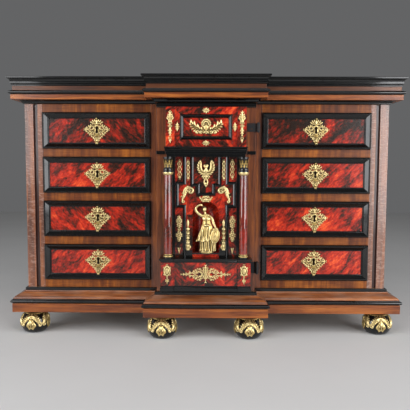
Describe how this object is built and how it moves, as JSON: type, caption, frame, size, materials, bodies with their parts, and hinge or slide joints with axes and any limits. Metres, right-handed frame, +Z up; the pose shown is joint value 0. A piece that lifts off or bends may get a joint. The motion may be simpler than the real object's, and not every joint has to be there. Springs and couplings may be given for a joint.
{
  "type": "table cabinet",
  "caption": "Low table cabinet on bun feet: drawers either side of a projecting hinged door with columns and a figure in a niche, with red shell panels, black mouldings and gilt mounts.",
  "frame": {"origin": "on the floor under the middle of the overall box", "axes": "+X to the viewer's right along the front, +Y from the front to the back, +Z up"},
  "size_m": [1.062, 0.42, 0.698],
  "materials": {
    "veneer": "french polished",
    "ebonised_wood": "polished black",
    "carcass_wood": "bare",
    "red_shell": "polished shell",
    "gilt_brass": "gilt",
    "iron": "blackened"
  },
  "bodies": {
    "case": {"case_sides": "veneer", "uprights": "veneer", "case_top": "carcass_wood", "case_bottom": "carcass_wood", "back_panel": "carcass_wood", "front_rails": "veneer", "dust_boards": "carcass_wood", "top_panel": "veneer", "cornice_mouldings": "ebonised_wood", "cornice_bands": "veneer", "plinth_mouldings": "ebonised_wood", "plinth_bands": "veneer", "feet": "ebonised_wood", "foot_mounts": "gilt_brass", "case_hinge_leaves": "iron", "hinge_pins": "iron"},
    "door": {"door_leaf": "veneer", "door_shell_panels": "red_shell", "door_mouldings": "ebonised_wood", "door_entablature": "ebonised_wood", "door_pedestal": "ebonised_wood", "niche": "red_shell", "columns": "red_shell", "column_mounts": "gilt_brass", "door_mounts": "gilt_brass", "figure": "gilt_brass", "door_hinge_leaves": "iron", "door_lock": "iron"},
    "left_drawer_1": {"left_drawer_1_box": "carcass_wood", "left_drawer_1_frame": "ebonised_wood", "left_drawer_1_panel": "red_shell", "left_drawer_1_lockset": "gilt_brass"},
    "left_drawer_2": {"left_drawer_2_box": "carcass_wood", "left_drawer_2_frame": "ebonised_wood", "left_drawer_2_panel": "red_shell", "left_drawer_2_lockset": "gilt_brass"},
    "left_drawer_3": {"left_drawer_3_box": "carcass_wood", "left_drawer_3_frame": "ebonised_wood", "left_drawer_3_panel": "red_shell", "left_drawer_3_lockset": "gilt_brass"},
    "left_drawer_4": {"left_drawer_4_box": "carcass_wood", "left_drawer_4_frame": "ebonised_wood", "left_drawer_4_panel": "red_shell", "left_drawer_4_lockset": "gilt_brass"},
    "right_drawer_1": {"right_drawer_1_box": "carcass_wood", "right_drawer_1_frame": "ebonised_wood", "right_drawer_1_panel": "red_shell", "right_drawer_1_lockset": "gilt_brass"},
    "right_drawer_2": {"right_drawer_2_box": "carcass_wood", "right_drawer_2_frame": "ebonised_wood", "right_drawer_2_panel": "red_shell", "right_drawer_2_lockset": "gilt_brass"},
    "right_drawer_3": {"right_drawer_3_box": "carcass_wood", "right_drawer_3_frame": "ebonised_wood", "right_drawer_3_panel": "red_shell", "right_drawer_3_lockset": "gilt_brass"},
    "right_drawer_4": {"right_drawer_4_box": "carcass_wood", "right_drawer_4_frame": "ebonised_wood", "right_drawer_4_panel": "red_shell", "right_drawer_4_lockset": "gilt_brass"}
  },
  "joints": [
    {"name": "door_hinge", "type": "hinge", "parent": "case", "child": "door", "pos_m": [0.1365, -0.171, 0.378], "axis": [0, 0, -1], "range_deg": [-105, 0]},
    {"name": "left_drawer_1_slide", "type": "slide", "parent": "case", "child": "left_drawer_1", "axis": [0, -1, 0], "range_m": [0, 0.25]},
    {"name": "left_drawer_2_slide", "type": "slide", "parent": "case", "child": "left_drawer_2", "axis": [0, -1, 0], "range_m": [0, 0.25]},
    {"name": "left_drawer_3_slide", "type": "slide", "parent": "case", "child": "left_drawer_3", "axis": [0, -1, 0], "range_m": [0, 0.25]},
    {"name": "left_drawer_4_slide", "type": "slide", "parent": "case", "child": "left_drawer_4", "axis": [0, -1, 0], "range_m": [0, 0.25]},
    {"name": "right_drawer_1_slide", "type": "slide", "parent": "case", "child": "right_drawer_1", "axis": [0, -1, 0], "range_m": [0, 0.25]},
    {"name": "right_drawer_2_slide", "type": "slide", "parent": "case", "child": "right_drawer_2", "axis": [0, -1, 0], "range_m": [0, 0.25]},
    {"name": "right_drawer_3_slide", "type": "slide", "parent": "case", "child": "right_drawer_3", "axis": [0, -1, 0], "range_m": [0, 0.25]},
    {"name": "right_drawer_4_slide", "type": "slide", "parent": "case", "child": "right_drawer_4", "axis": [0, -1, 0], "range_m": [0, 0.25]}
  ]
}
